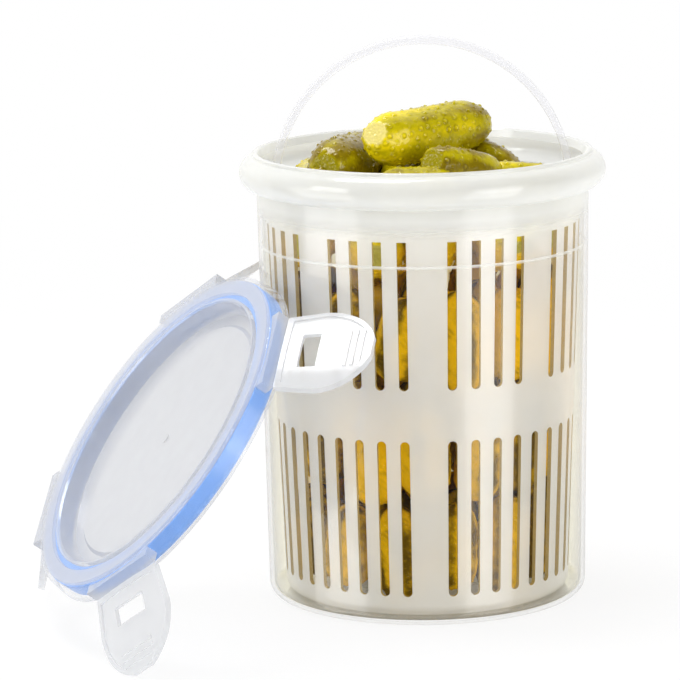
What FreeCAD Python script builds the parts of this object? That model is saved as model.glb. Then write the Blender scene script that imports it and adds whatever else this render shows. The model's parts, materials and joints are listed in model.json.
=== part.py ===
import FreeCAD, Part
import math
import os

# A tall clear plastic pickle jar with a slotted strainer basket that lifts the gherkins out of their brine.
# The clip lid is off and leans against the jar's side. Millimetres, +Z up.
# The origin is the middle of the jar's base, on the surface it stands on. The camera side of the jar is -Y.

# ---------- jar ----------
JAR_HEIGHT = 159.4
JAR_NECK_RADIUS = 58.8      # outside of the wall, at the height of the mouth
JAR_TAPER = 2.3             # how much narrower the base is, in radius
JAR_WALL = 1.6
JAR_FLOOR = 2.2             # top of the floor over the surface it stands on
BASE_ROUND = 5.0            # outside radius between wall and base
BASE_LIFT = 1.0             # the middle of the base stands this clear of the table
BASE_LIFT_MARGIN = 4.0      # flat ring that the jar stands on
LIP_PROUD = 1.2             # how far the lip stands out from the wall's line
MOUTH_LIP = 2.0             # width of the lip's top
LIP_ROUND = 0.5
BEAD_RADIUS = 6.0           # half-round locking bead
BEAD_BELOW_MOUTH = 7.0      # from the mouth down to the bead's middle

# ---------- lifter basket ----------
BASKET_WALL = 1.5
BASKET_FLOOR = 1.6
BASKET_RIM_BELOW_MOUTH = 15.9
BASKET_TO_JAR = 1.3         # gap at the rim between the basket's wall and the jar's
BASKET_FOOT_TO_JAR = 4.5    # the same gap at the foot, where the basket is narrower
BASKET_ROUND = 4.0
RIM_FLANGE = 0.8            # how far the rim stands out from the basket's wall
RIM_THICKNESS = 1.8
SLOT_WIDTH = 3.3
SLOT_PITCHES = 40           # slot places in a full turn
UPPER_SLOTS_TO_TOP = 8.5    # from the upper slots' top to the rim's
UPPER_SLOT_LENGTH = 52.0
UPPER_GROUP = 5             # every fifth place of the upper row stays closed
LOWER_SLOTS_FROM = 9.5
ROW_GAP = 18.0              # closed band between the two rows
LOWER_GROUP = 10            # every tenth place of the lower row stays closed
DRAIN_SLOTS = 12
DRAIN_FROM = 16.0
DRAIN_TO = 40.0

# ---------- bail handle and its two lugs ----------
HANDLE_TO_NECK = 5.5        # from the outside of the jar's neck in to the outside of the bail
HANDLE_THICKNESS = 2.8
HANDLE_DEPTH = 6.2
HANDLE_EDGE = 0.7           # rounding along the bail's edges
PIVOT_OVER_RIM = 2.8        # pivot axis over the basket's rim
EYE_RADIUS = 4.6
PIN_RADIUS = 2.2
PIN_CLEARANCE = 0.1
LUG_RADIUS = 6.0
LUG_FOOT_HALF = 10.0
LUG_SWEEP = 60.0            # the part of a ring, in degrees, that a lug is cut from

# ---------- lid, worked out about its own axis with its outer face at 0 ----------
LID_TO_MOUTH = 1.5          # gap between the jar's lip and the lid's side wall
LID_WALL = 1.5
LID_SKIRT = 7.8             # height of the side wall
SKIRT_FLARE = 0.8
LID_EDGE_ROUND = 1.2
RECESS_TO_MOUTH = 8.0       # from the outside of the jar's lip in to the top edge of the lid's well
RECESS_DRAFT = 1.2
RECESS_DEPTH = 6.8
PANEL_TO_RECESS = 6.5       # from that edge in to the raised middle of the well
PANEL_RISE = 1.0
PANEL_SLOPE = 1.2
GATE_RADIUS = 1.6
GATE_RISE = 0.4
SEAL_HEIGHT = 6.0
SEAL_GROOVE_WIDTH = 2.6
SEAL_GROOVE_DEPTH = 1.2
SEAL_CLEARANCE = 0.1

# ---------- the lid's four clips ----------
CLIP_COUNT = 4
CLIP_HALF_WIDTH = 17.5
CLIP_HINGE_HALF = 15.8      # half width at the hinge
CLIP_LENGTH = 32.0
CLIP_THICKNESS = 1.6
CLIP_BEND = 110.0           # a clip is bent less than the lid's rim
CLIP_TO_BEAD = 0.3          # gap between a shut clip and the jar's bead
CLIP_STRAIGHT = 13.0        # straight part of a clip's side, from the hinge
CLIP_TIP_HALF = 4.5         # half of the short flat at the tip
HINGE_DOWN = 5.0            # hinge axis under the lid's outer face
HINGE_IN_PLATE = 0.6        # hinge axis behind the clip's inner face
HINGE_RADIUS = 0.5          # thin round bead along the hinge axis, on the clip
HINGE_CLEARANCE = 0.1       # between that bead and its groove in the root
HINGE_GAP = 0.35            # how far the root stays from the hinge axis
CLIP_GAP = 0.2              # how far the clip's plate stays from the hinge axis
ROOT_MARGIN = 0.5           # the straight root is this much wider than its clip, each side
ROOT_DOWN = 0.3             # top of the root under the lid's outer face
WINDOW_HALF = 7.5
WINDOW_FROM = 6.5
WINDOW_TO = 13.0
WINDOW_LIP = 1.2
RIB_WIDTH = 1.8
RIB_HEIGHT = 0.7
GRIP_HALF = 8.0
GRIP_RIDGES = 3
GRIP_PITCH = 2.4
GRIP_TO_TIP = 4.0

# ---------- how the lid leans ----------
LID_TILT = 53.1             # its axis from upright
LID_AZIMUTH = 200.3         # the way its outer face looks, from +X towards +Y
LID_OFFSET_FRONT = 49.0     # its middle stands this far in front of the jar's axis
LID_TURN = 43.0             # first clip, from the lid's lowest point
CLIP_FOLDS = (27.0, 36.0, 33.0, 33.0)   # each clip's fold down from the lid's plane
LEAN_GAP = 0.3
LEAN_STEPS = 4              # times that the gap to the jar is measured and closed
TABLE_GAP = 0.15

# ---------- contents ----------
BRINE_BELOW_MOUTH = 32.4
GHERKIN_SECTIONS = 9
GHERKIN_LOBES = 5
GHERKIN_LOBE_DEPTH = 0.03
GHERKIN_BLUNTNESS = 4.5
GHERKIN_TAPER = 0.06
GHERKIN_FIT = 0.4           # clear of the basket's wall
PILE_LAID_IN = 58.8         # neck radius of the jar that the pile below is laid out for
# Each gherkin: middle X, Y and depth under the mouth; yaw and pitch; length and radius; then, for the first
# end and the last, its disc's share of the radius and how far the end is bent sideways and up.
GHERKINS = (
    ((2.5, -1.5, -5.7), (36.0, 4.0), (51.0, 9.5), (0.46, -3.0, 4.6), (0.40, 0.0, 1.2)),
    ((-25.0, 2.5, 4.0), (68.0, 0.0), (49.0, 9.4), (0.52, 0.0, 0.6), (0.40, 1.0, -1.0)),
    ((14.0, -21.0, 3.8), (38.0, -12.0), (31.0, 6.8), (0.64, -1.0, 0.8), (0.35, 0.5, -1.6)),
    ((17.5, 16.0, 5.2), (-34.0, -16.0), (42.0, 8.4), (0.50, 0.0, -1.0), (0.35, -1.0, -2.0)),
    ((28.2, -9.8, 11.8), (12.0, -2.0), (40.0, 8.2), (0.35, 0.5, -1.0), (0.35, 0.0, -1.0)),
    ((-37.5, -4.0, 10.6), (98.0, -2.0), (40.0, 7.8), (0.50, 1.0, 0.0), (0.35, 1.0, -0.5)),
    ((-2.5, -34.0, 9.8), (8.0, 3.0), (27.0, 8.4), (0.55, 0.5, 0.5), (0.40, 0.0, 0.5)),
    ((2.0, 0.5, 12.8), (-42.0, 1.0), (58.0, 9.2), (0.40, 1.0, 1.0), (0.35, 1.5, 1.0)),
    ((-6.0, 33.0, 13.0), (4.0, 2.0), (56.0, 8.8), (0.45, -1.5, -1.0), (0.35, -2.0, 0.5)),
    ((-39.0, 1.0, 29.0), (86.0, 1.0), (60.0, 10.0), (0.45, 2.0, 0.5), (0.35, 2.0, 0.5)),
    ((-17.5, -2.0, 30.2), (92.0, -1.0), (92.0, 10.6), (0.40, 1.0, -1.0), (0.32, 2.0, 0.0)),
    ((4.0, 1.0, 29.6), (84.0, 1.0), (94.0, 10.4), (0.35, -2.0, 1.0), (0.32, 1.0, -1.0)),
    ((25.0, -2.0, 29.4), (96.0, -1.0), (86.0, 10.2), (0.50, -2.0, 0.5), (0.32, -1.0, 0.0)),
    ((43.0, 2.0, 28.6), (88.0, 1.0), (50.0, 8.0), (0.45, -1.0, 0.5), (0.32, -1.5, 0.0)),
)

X_AXIS = FreeCAD.Vector(1, 0, 0)
Y_AXIS = FreeCAD.Vector(0, 1, 0)
Z_AXIS = FreeCAD.Vector(0, 0, 1)
CENTRE = FreeCAD.Vector(0, 0, 0)

# ---------- worked out from the sizes above ----------
JAR_BASE_RADIUS = JAR_NECK_RADIUS - JAR_TAPER
MOUTH_RADIUS = JAR_NECK_RADIUS + LIP_PROUD
BEAD_Z = JAR_HEIGHT - BEAD_BELOW_MOUTH
BRINE_Z = JAR_HEIGHT - BRINE_BELOW_MOUTH
LID_RADIUS = MOUTH_RADIUS + LID_TO_MOUTH + LID_WALL
RECESS_RADIUS = MOUTH_RADIUS - RECESS_TO_MOUTH
PANEL_RADIUS = RECESS_RADIUS - PANEL_TO_RECESS
BASKET_TOP = JAR_HEIGHT - BASKET_RIM_BELOW_MOUTH
RIM_LOW = BASKET_TOP - RIM_THICKNESS
UPPER_SLOTS_TO = BASKET_TOP - UPPER_SLOTS_TO_TOP
UPPER_SLOTS_FROM = UPPER_SLOTS_TO - UPPER_SLOT_LENGTH
LOWER_SLOTS_TO = UPPER_SLOTS_FROM - ROW_GAP
PIVOT_Z = BASKET_TOP + PIVOT_OVER_RIM


def jar_outside(z):
    """Outside radius of the jar's plain wall at a height."""
    return JAR_BASE_RADIUS + (JAR_NECK_RADIUS - JAR_BASE_RADIUS) * z / JAR_HEIGHT


def jar_inside(z):
    return jar_outside(z) - JAR_WALL


def basket_outside(z):
    """Outside radius of the basket's wall, which tapers up to its rim and is straight above that."""
    foot = jar_inside(JAR_FLOOR) - BASKET_FOOT_TO_JAR
    rim = jar_inside(RIM_LOW) - BASKET_TO_JAR
    share = min(1.0, (z - JAR_FLOOR) / (RIM_LOW - JAR_FLOOR))
    return foot + (rim - foot) * share


def basket_inside(z):
    return basket_outside(z) - BASKET_WALL


class Outline:
    """Half a section in the XZ plane, drawn edge by edge, then spun about Z."""

    def __init__(self, r, z):
        self.start = FreeCAD.Vector(r, 0, z)
        self.at = self.start
        self.edges = []

    def line(self, r, z):
        """A straight edge, left out where the outline is already at its end."""
        end = FreeCAD.Vector(r, 0, z)
        if self.at.distanceToPoint(end) > 1e-6:
            self.edges.append(Part.LineSegment(self.at, end).toShape())
        self.at = end
        return self

    def arc(self, through_r, through_z, r, z):
        end = FreeCAD.Vector(r, 0, z)
        through = FreeCAD.Vector(through_r, 0, through_z)
        self.edges.append(Part.Arc(self.at, through, end).toShape())
        self.at = end
        return self

    def corner(self, centre_r, centre_z, radius, from_deg, to_deg):
        """A round corner: an arc about its own centre, angles from +R towards +Z."""
        first = math.radians(from_deg)
        last = math.radians(to_deg)
        middle = (first + last) / 2
        self.line(centre_r + radius * math.cos(first), centre_z + radius * math.sin(first))
        return self.arc(
            centre_r + radius * math.cos(middle),
            centre_z + radius * math.sin(middle),
            centre_r + radius * math.cos(last),
            centre_z + radius * math.sin(last),
        )

    def spin(self, degrees=360.0):
        """The solid swept by the closed outline, centred on +X when it isn't a full turn."""
        self.line(self.start.x, self.start.z)
        face = Part.Face(Part.Wire(self.edges))
        solid = face.revolve(CENTRE, Z_AXIS, degrees)
        if degrees < 360.0:
            solid.rotate(CENTRE, Z_AXIS, -degrees / 2)
        return solid


def loop_face(points):
    return Part.Face(Part.makePolygon(list(points) + [points[0]]))


def radial_prism(face, near, far):
    """A face drawn in the YZ plane at x=0, pushed out along +X between two distances."""
    face = face.copy()
    face.translate(FreeCAD.Vector(near, 0, 0))
    return face.extrude(FreeCAD.Vector(far - near, 0, 0))


def turned(shape, degrees):
    shape = shape.copy()
    shape.rotate(CENTRE, Z_AXIS, degrees)
    return shape


def biggest_solid(shape):
    return max(shape.Solids, key=lambda s: s.Volume)


# ---------- jar ----------
def inner_wall_outline(top, outline):
    """The jar's inside from the floor's middle out and up to a height below the bead."""
    floor_round = BASE_ROUND - JAR_WALL
    centre_r = jar_inside(JAR_FLOOR + floor_round) - floor_round
    outline.line(0, JAR_FLOOR)
    outline.corner(centre_r, JAR_FLOOR + floor_round, floor_round, -90, 0)
    return outline.line(jar_inside(top), top)


def make_jar():
    bead_r = jar_outside(BEAD_Z)
    lip_start = BEAD_Z + math.sqrt(BEAD_RADIUS**2 - (MOUTH_RADIUS - bead_r) ** 2)
    hollow = BEAD_RADIUS - JAR_WALL
    half_hollow = math.sqrt(hollow**2 - JAR_WALL**2)

    half_turn = math.acos((MOUTH_RADIUS - bead_r) / BEAD_RADIUS) / 2 - math.pi / 4
    over = (
        bead_r + BEAD_RADIUS * math.cos(half_turn),
        BEAD_Z + BEAD_RADIUS * math.sin(half_turn),
    )

    # inside, from the middle of the floor up to the mouth
    wall = inner_wall_outline(BEAD_Z - half_hollow, Outline(0, BASE_LIFT))
    wall.arc(bead_r + hollow, BEAD_Z, bead_r - JAR_WALL, BEAD_Z + half_hollow)
    wall.line(MOUTH_RADIUS - MOUTH_LIP, JAR_HEIGHT - LIP_ROUND)
    wall.line(MOUTH_RADIUS - MOUTH_LIP + LIP_ROUND, JAR_HEIGHT)
    # the lip, the half-round bead, and down the outside
    wall.corner(MOUTH_RADIUS - LIP_ROUND, JAR_HEIGHT - LIP_ROUND, LIP_ROUND, 90, 0)
    wall.line(MOUTH_RADIUS, lip_start)
    wall.arc(over[0], over[1], jar_outside(BEAD_Z - BEAD_RADIUS), BEAD_Z - BEAD_RADIUS)
    foot_r = jar_outside(BASE_ROUND) - BASE_ROUND
    wall.corner(foot_r, BASE_ROUND, BASE_ROUND, 0, -90)
    # a slightly raised middle, so that the jar stands on a ring
    wall.line(foot_r - BASE_LIFT_MARGIN, 0)
    wall.line(foot_r - BASE_LIFT_MARGIN - BASE_LIFT, BASE_LIFT)
    return wall.spin()


# ---------- lifter basket ----------
def slot_face(low, high, round_top):
    """A slot's outline in the YZ plane. The bottom is always round; the top is round or square."""
    half = SLOT_WIDTH / 2
    top = high - half if round_top else high
    left_low = FreeCAD.Vector(0, -half, low + half)
    right_low = FreeCAD.Vector(0, half, low + half)
    left_top = FreeCAD.Vector(0, -half, top)
    right_top = FreeCAD.Vector(0, half, top)
    edges = [
        Part.Arc(left_low, FreeCAD.Vector(0, 0, low), right_low).toShape(),
        Part.LineSegment(right_low, right_top).toShape(),
    ]
    if round_top:
        edges.append(Part.Arc(right_top, FreeCAD.Vector(0, 0, high), left_top).toShape())
    else:
        edges.append(Part.LineSegment(right_top, left_top).toShape())
    edges.append(Part.LineSegment(left_top, left_low).toShape())
    return Part.Face(Part.Wire(edges))


def slot_row(low, high, round_top, group):
    """Cutters for one row: every place round the wall but each group's first, which faces -Y."""
    near = basket_inside(low) - 3 * BASKET_WALL
    far = basket_outside(high) + 2 * BASKET_WALL
    cutter = radial_prism(slot_face(low, high, round_top), near, far)
    places = [k for k in range(SLOT_PITCHES) if k % group]
    return [turned(cutter, -90 + 360.0 * k / SLOT_PITCHES) for k in places]


def drain_slots():
    half = SLOT_WIDTH / 2
    bar = Part.makeBox(DRAIN_TO - DRAIN_FROM, SLOT_WIDTH, 3 * BASKET_FLOOR)
    bar.translate(FreeCAD.Vector(DRAIN_FROM, -half, JAR_FLOOR - BASKET_FLOOR))
    for end in (DRAIN_FROM, DRAIN_TO):
        middle = FreeCAD.Vector(end, 0, JAR_FLOOR - BASKET_FLOOR)
        round_end = Part.makeCylinder(half, 3 * BASKET_FLOOR, middle)
        bar = bar.fuse(round_end)
    return [turned(bar, 360.0 * k / DRAIN_SLOTS) for k in range(DRAIN_SLOTS)]


def lug_face():
    """A lug's outline: sloping shoulders up from the rim to a round top about the pivot."""
    left = FreeCAD.Vector(0, -LUG_RADIUS, PIVOT_Z)
    right = FreeCAD.Vector(0, LUG_RADIUS, PIVOT_Z)
    right_foot = FreeCAD.Vector(0, LUG_FOOT_HALF, RIM_LOW)
    left_foot = FreeCAD.Vector(0, -LUG_FOOT_HALF, RIM_LOW)
    corners = [right, right_foot, left_foot, left]
    edges = [Part.LineSegment(a, b).toShape() for a, b in zip(corners, corners[1:])]
    edges.append(Part.Arc(left, FreeCAD.Vector(0, 0, PIVOT_Z + LUG_RADIUS), right).toShape())
    return Part.Face(Part.Wire(edges))


def make_basket():
    top_in = basket_inside(BASKET_TOP)
    top_out = basket_outside(BASKET_TOP)
    inner_floor = JAR_FLOOR + BASKET_FLOOR
    inner_round = BASKET_ROUND - BASKET_WALL
    shell = Outline(0, inner_floor)
    inner_z = inner_floor + inner_round
    shell.corner(basket_inside(inner_z) - inner_round, inner_z, inner_round, -90, 0)
    shell.line(top_in, RIM_LOW).line(top_in, BASKET_TOP)
    shell.line(top_out + RIM_FLANGE, BASKET_TOP).line(top_out + RIM_FLANGE, RIM_LOW).line(top_out, RIM_LOW)
    outer_z = JAR_FLOOR + BASKET_ROUND
    shell.corner(basket_outside(outer_z) - BASKET_ROUND, outer_z, BASKET_ROUND, 0, -90)
    shell.line(0, JAR_FLOOR)
    basket = shell.spin()

    lug_top = PIVOT_Z + LUG_RADIUS
    ring = Outline(top_in, RIM_LOW)
    ring.line(top_out, RIM_LOW).line(top_out, lug_top).line(top_in, lug_top)
    lug = ring.spin(LUG_SWEEP).common(radial_prism(lug_face(), 0, 2 * top_out))
    basket = basket.fuse([lug, turned(lug, 180)])

    bore_radius = PIN_RADIUS + PIN_CLEARANCE
    bore = Part.makeCylinder(bore_radius, 4 * top_out, FreeCAD.Vector(-2 * top_out, 0, PIVOT_Z), X_AXIS)
    cutters = slot_row(UPPER_SLOTS_FROM, UPPER_SLOTS_TO, False, UPPER_GROUP)
    cutters += slot_row(LOWER_SLOTS_FROM, LOWER_SLOTS_TO, True, LOWER_GROUP)
    cutters += drain_slots()
    cutters.append(bore)
    return biggest_solid(basket.cut(cutters))


# ---------- bail handle ----------
def make_handle():
    """A half-round bail about the pivot axis, with an eye and an outward pin at each end."""
    outer = JAR_NECK_RADIUS - HANDLE_TO_NECK
    inner = outer - HANDLE_THICKNESS
    half = HANDLE_DEPTH / 2
    strip = Outline(inner + HANDLE_EDGE, -half)
    strip.corner(outer - HANDLE_EDGE, -half + HANDLE_EDGE, HANDLE_EDGE, -90, 0)
    strip.corner(outer - HANDLE_EDGE, half - HANDLE_EDGE, HANDLE_EDGE, 0, 90)
    strip.corner(inner + HANDLE_EDGE, half - HANDLE_EDGE, HANDLE_EDGE, 90, 180)
    strip.corner(inner + HANDLE_EDGE, -half + HANDLE_EDGE, HANDLE_EDGE, 180, 270)
    handle = strip.spin(180.0)
    handle.rotate(CENTRE, Y_AXIS, -90)
    handle.rotate(CENTRE, Z_AXIS, 90)

    reach = basket_outside(BASKET_TOP) + RIM_FLANGE
    for side in (-1, 1):
        outward = X_AXIS * side
        eye = Part.makeCylinder(EYE_RADIUS, HANDLE_THICKNESS, outward * inner, outward)
        pin = Part.makeCylinder(PIN_RADIUS, reach - inner, outward * inner, outward)
        handle = handle.fuse([eye, pin])
    handle = handle.removeSplitter()
    handle.translate(FreeCAD.Vector(0, 0, PIVOT_Z))
    return biggest_solid(handle)


# ---------- lid and its seal, about the lid's own axis ----------
def skirt_outside(drop):
    return LID_RADIUS + SKIRT_FLARE * drop / LID_SKIRT


def seal_outside():
    return skirt_outside(0) - LID_WALL - SEAL_CLEARANCE


def clip_inside():
    """Inside radius of a shut clip, which hangs just clear of the jar's bead."""
    return jar_outside(BEAD_Z) + BEAD_RADIUS + CLIP_TO_BEAD


def hinge_out():
    """Distance of a clip's hinge axis from the lid's axis."""
    return clip_inside() + HINGE_IN_PLATE


def hinge_rod(radius, half):
    """A round rod along the hinge axis of the clip towards +X."""
    return Part.makeCylinder(radius, 2 * half, FreeCAD.Vector(hinge_out(), -half, -HINGE_DOWN), Y_AXIS)


def make_clip_root():
    """The straight bar on the side wall that a clip hangs from, towards +X."""
    half = CLIP_HINGE_HALF + ROOT_MARGIN
    low = -HINGE_DOWN + HINGE_GAP
    depth = HINGE_DOWN - HINGE_GAP - ROOT_DOWN
    core_radius = LID_RADIUS - LID_WALL / 2
    near = math.sqrt(core_radius**2 - half**2)
    bar = Part.makeBox(hinge_out() - HINGE_GAP - near, 2 * half, depth)
    bar.translate(FreeCAD.Vector(near, -half, low))
    core = Part.makeCylinder(core_radius, depth, FreeCAD.Vector(0, 0, low))
    return bar.cut([core, hinge_rod(HINGE_RADIUS + HINGE_CLEARANCE, half + ROOT_MARGIN)])


def make_lid():
    well = -RECESS_DEPTH
    panel = well + PANEL_RISE
    well_r = RECESS_RADIUS - RECESS_DRAFT
    under = -LID_WALL

    # outer face, from the gate mark in the middle out over the ring and down the side wall
    body = Outline(0, panel + GATE_RISE)
    body.line(GATE_RADIUS, panel + GATE_RISE).line(GATE_RADIUS, panel).line(PANEL_RADIUS, panel)
    body.line(PANEL_RADIUS + PANEL_SLOPE, well).line(well_r, well).line(RECESS_RADIUS, -LID_EDGE_ROUND / 2)
    body.line(RECESS_RADIUS + LID_EDGE_ROUND / 2, 0)
    body.corner(LID_RADIUS - LID_EDGE_ROUND, -LID_EDGE_ROUND, LID_EDGE_ROUND, 90, 0)
    body.line(skirt_outside(LID_SKIRT), -LID_SKIRT)
    # inner face, back up the side wall, along the seal's channel and under the well
    body.line(skirt_outside(LID_SKIRT) - LID_WALL, -LID_SKIRT).line(skirt_outside(0) - LID_WALL, under)
    body.line(RECESS_RADIUS + LID_WALL, under).line(well_r + LID_WALL, well - LID_WALL)
    body.line(PANEL_RADIUS + PANEL_SLOPE - LID_WALL / 2, well - LID_WALL)
    body.line(PANEL_RADIUS - LID_WALL / 2, panel - LID_WALL).line(0, panel - LID_WALL)
    lid = body.spin()
    root = make_clip_root()
    return biggest_solid(lid.fuse([turned(root, clip_angle(k)) for k in range(CLIP_COUNT)]))


def make_seal():
    """The soft ring that fills the lid's channel, with a groove below for the jar's lip."""
    outer = seal_outside()
    inner = RECESS_RADIUS + LID_WALL + SEAL_CLEARANCE
    top = -LID_WALL - SEAL_CLEARANCE
    low = top - SEAL_HEIGHT
    middle = MOUTH_RADIUS - MOUTH_LIP / 2
    ring = Outline(inner, top)
    ring.line(outer, top).line(outer, low).line(middle + SEAL_GROOVE_WIDTH / 2, low)
    ring.arc(middle, low + SEAL_GROOVE_DEPTH, middle - SEAL_GROOVE_WIDTH / 2, low)
    ring.line(inner, low)
    return ring.spin()


# ---------- clips ----------
def clip_angle(index):
    return LID_TURN + 360.0 * index / CLIP_COUNT


def band(near, far, from_drop, to_drop, half_width):
    """A piece of a clip's bent wall, hanging straight down, by distance, drop and half width."""
    centre = clip_inside() - CLIP_BEND
    ring = Outline(near - centre, -from_drop)
    ring.line(far - centre, -from_drop).line(far - centre, -to_drop).line(near - centre, -to_drop)
    piece = ring.spin(2 * math.degrees(half_width / (near - centre)))
    piece.translate(X_AXIS * centre)
    return piece


def clip_face(margin=0.0):
    """The clip's outline seen from outside, a shield: straight sides that curve in to a short flat tip.

    A margin draws it that much smaller all round."""
    top = -HINGE_DOWN - CLIP_GAP - margin
    tip = -HINGE_DOWN - CLIP_LENGTH + margin
    half = CLIP_HALF_WIDTH - margin
    shoulder = -HINGE_DOWN - CLIP_STRAIGHT
    run = shoulder - tip
    rise = half - CLIP_TIP_HALF
    radius = (rise**2 + run**2) / (2 * rise)
    sweep = math.asin(run / radius) / 2
    middle_y = half - radius + radius * math.cos(sweep)
    middle_z = shoulder - radius * math.sin(sweep)
    right = [FreeCAD.Vector(0, y, z) for y, z in (
        (CLIP_TIP_HALF, tip), (middle_y, middle_z), (half, shoulder), (CLIP_HINGE_HALF - margin, top)
    )]
    left = [FreeCAD.Vector(0, -point.y, point.z) for point in right]
    edges = [
        Part.LineSegment(left[0], right[0]).toShape(),
        Part.Arc(right[0], right[1], right[2]).toShape(),
        Part.LineSegment(right[2], right[3]).toShape(),
        Part.LineSegment(right[3], left[3]).toShape(),
        Part.LineSegment(left[3], left[2]).toShape(),
        Part.Arc(left[2], left[1], left[0]).toShape(),
    ]
    return Part.Face(Part.Wire(edges))


def make_clip():
    """One clip as it hangs when shut: a curved plate with a window, side ribs and a ridged grip."""
    inner = clip_inside()
    outer = inner + CLIP_THICKNESS
    proud = outer + RIB_HEIGHT
    end = HINGE_DOWN + CLIP_LENGTH
    plate = band(inner, outer, HINGE_DOWN, end, CLIP_HALF_WIDTH + RIB_WIDTH)
    extras = []
    rim = band(outer - RIB_HEIGHT, proud, HINGE_DOWN + CLIP_GAP, end, CLIP_HALF_WIDTH + RIB_WIDTH)
    extras.append(rim.cut(radial_prism(clip_face(RIB_WIDTH), 0, 2 * proud)))
    for k in range(GRIP_RIDGES):
        drop = end - GRIP_TO_TIP - k * GRIP_PITCH
        ridge_half = GRIP_PITCH / 4
        extras.append(band(outer - RIB_HEIGHT, proud, drop - ridge_half, drop + ridge_half, GRIP_HALF))
    lip_from = HINGE_DOWN + WINDOW_TO
    extras.append(band(inner - WINDOW_LIP, inner + RIB_HEIGHT, lip_from, lip_from + WINDOW_LIP, WINDOW_HALF))
    clip = plate.fuse(extras).common(radial_prism(clip_face(), 0, 2 * proud))
    top = -HINGE_DOWN - WINDOW_FROM
    low = -HINGE_DOWN - WINDOW_TO
    window = [(-WINDOW_HALF, top), (WINDOW_HALF, top), (WINDOW_HALF, low), (-WINDOW_HALF, low)]
    opening = loop_face([FreeCAD.Vector(0, y, z) for y, z in window])
    clip = clip.cut(radial_prism(opening, 0, 2 * proud))
    return biggest_solid(clip.fuse(hinge_rod(HINGE_RADIUS, CLIP_HINGE_HALF)))


def folded_clip(clip, index):
    """A clip swung out about its hinge from shut to its fold, then turned to its place."""
    hinge = FreeCAD.Vector(hinge_out(), 0, -HINGE_DOWN)
    swung = clip.copy()
    swung.rotate(hinge, Y_AXIS, -(90.0 - CLIP_FOLDS[index]))
    return turned(swung, clip_angle(index))


# ---------- leaning the lid ----------
def lean(shapes, jar):
    """Tilt the lid's pieces together, stand them on the table and slide them up to the jar's side."""
    tilt = FreeCAD.Rotation(Z_AXIS, LID_AZIMUTH).multiply(FreeCAD.Rotation(Y_AXIS, LID_TILT))
    start = FreeCAD.Vector(-2 * JAR_BASE_RADIUS, -LID_OFFSET_FRONT, 0)
    place = FreeCAD.Placement(start, tilt)
    placed = {name: moved(shape, place) for name, shape in shapes.items()}
    lowest = min(shape.optimalBoundingBox(False, True).ZMin for shape in placed.values())
    place.Base.z += TABLE_GAP - lowest
    for _ in range(LEAN_STEPS):
        placed = {name: moved(shape, place) for name, shape in shapes.items()}
        gap = min(shape.distToShape(jar)[0] for shape in placed.values())
        place.Base.x += gap - LEAN_GAP
    for k in range(CLIP_COUNT):
        spoke = FreeCAD.Rotation(Z_AXIS, clip_angle(k))
        hinge = place.multVec(spoke.multVec(FreeCAD.Vector(hinge_out(), 0, -HINGE_DOWN)))
        axis = place.Rotation.multVec(spoke.multVec(Y_AXIS))
        hinge_at = tuple(round(v, 4) for v in hinge)
        along = tuple(round(v, 6) for v in axis)
        print("lid_clip_%d hinge at" % (k + 1), hinge_at, "axis", along)
    return {name: moved(shape, place) for name, shape in shapes.items()}


def moved(shape, place):
    shape = shape.copy()
    shape.transformShape(place.toMatrix())
    return shape


# ---------- gherkins ----------
def gherkin_section(radius, phase):
    """A closed, softly lobed section in the YZ plane."""
    count = 4 * GHERKIN_LOBES
    points = []
    for k in range(count):
        angle = 2 * math.pi * k / count
        r = radius * (1 + GHERKIN_LOBE_DEPTH * math.cos(GHERKIN_LOBES * angle + phase))
        points.append(FreeCAD.Vector(0, r * math.cos(angle), r * math.sin(angle)))
    curve = Part.BSplineCurve()
    curve.interpolate(points, PeriodicFlag=True)
    return Part.Wire([curve.toShape()])


def make_gherkin(length, radius, first_end, last_end, phase):
    """A gherkin along X: round blunt ends, each bent its own way and closed by a flat disc."""
    wires = []
    for k in range(GHERKIN_SECTIONS):
        s = math.sin(math.pi * (k / (GHERKIN_SECTIONS - 1) - 0.5))
        share, aside, up = first_end if s < 0 else last_end
        swell = math.sqrt(1 - abs(s) ** GHERKIN_BLUNTNESS * (1 - share**2))
        taper = 1 - GHERKIN_TAPER * s
        wire = gherkin_section(radius * swell * taper, phase)
        # the centre line leaves the axis by s^4, and each section stands square to it
        steepness = 8 * s**3 / length
        wire.rotate(CENTRE, Y_AXIS, -math.degrees(math.atan(steepness * up)))
        wire.rotate(CENTRE, Z_AXIS, math.degrees(math.atan(steepness * aside)))
        wire.translate(FreeCAD.Vector(s * length / 2, aside * s**4, up * s**4))
        wires.append(wire)
    return Part.makeLoft(wires, True, False)


def basket_room():
    """The space inside the basket's wall, up past the pile."""
    over = BASKET_TOP + JAR_HEIGHT
    room = Outline(0, JAR_FLOOR + BASKET_FLOOR)
    room.line(basket_inside(JAR_FLOOR + BASKET_FLOOR) - GHERKIN_FIT, JAR_FLOOR + BASKET_FLOOR)
    room.line(basket_inside(BASKET_TOP) - GHERKIN_FIT, BASKET_TOP)
    room.line(basket_inside(BASKET_TOP) - GHERKIN_FIT, over).line(0, over)
    return room.spin()


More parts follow.
